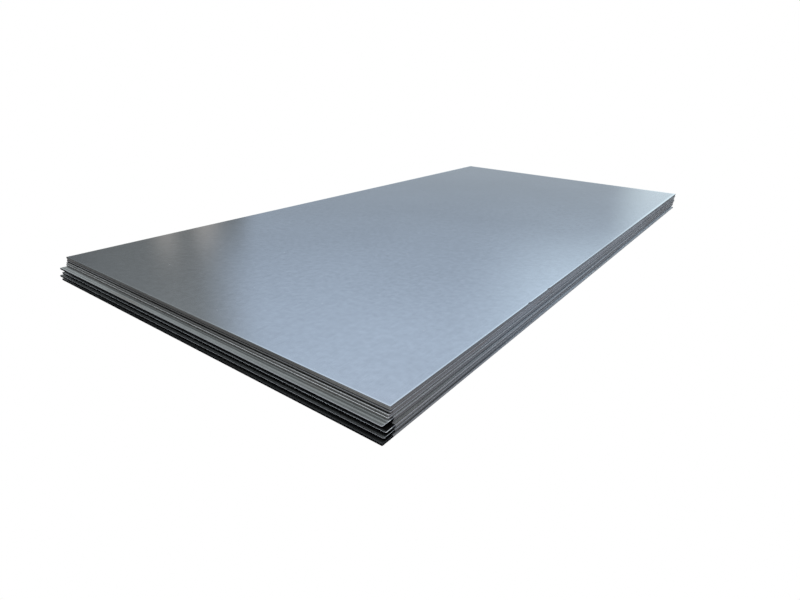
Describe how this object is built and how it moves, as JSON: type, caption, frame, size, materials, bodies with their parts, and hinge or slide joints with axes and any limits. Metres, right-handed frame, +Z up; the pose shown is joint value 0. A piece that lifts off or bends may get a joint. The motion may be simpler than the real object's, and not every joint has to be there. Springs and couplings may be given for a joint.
{
  "type": "stack of steel plates",
  "caption": "Flat stack of fourteen rectangular steel plates with sheared edges, lying slightly out of line, as stocked for cutting.",
  "frame": {"origin": "middle of the stack's footprint, on the floor under the bottom plate", "axes": "+Y along the plates' long side, +X along the short side, +Z up through the thickness"},
  "size_m": [1.2616, 2.5326, 0.07],
  "materials": {
    "plate_steel": "satin blue-grey mill finish, lightly oiled"
  },
  "bodies": {
    "root": {"plate_01": "plate_steel", "plate_02": "plate_steel", "plate_03": "plate_steel", "plate_04": "plate_steel", "plate_05": "plate_steel", "plate_06": "plate_steel", "plate_07": "plate_steel", "plate_08": "plate_steel", "plate_09": "plate_steel", "plate_10": "plate_steel", "plate_11": "plate_steel", "plate_12": "plate_steel", "plate_13": "plate_steel", "plate_14": "plate_steel"}
  },
  "joints": []
}
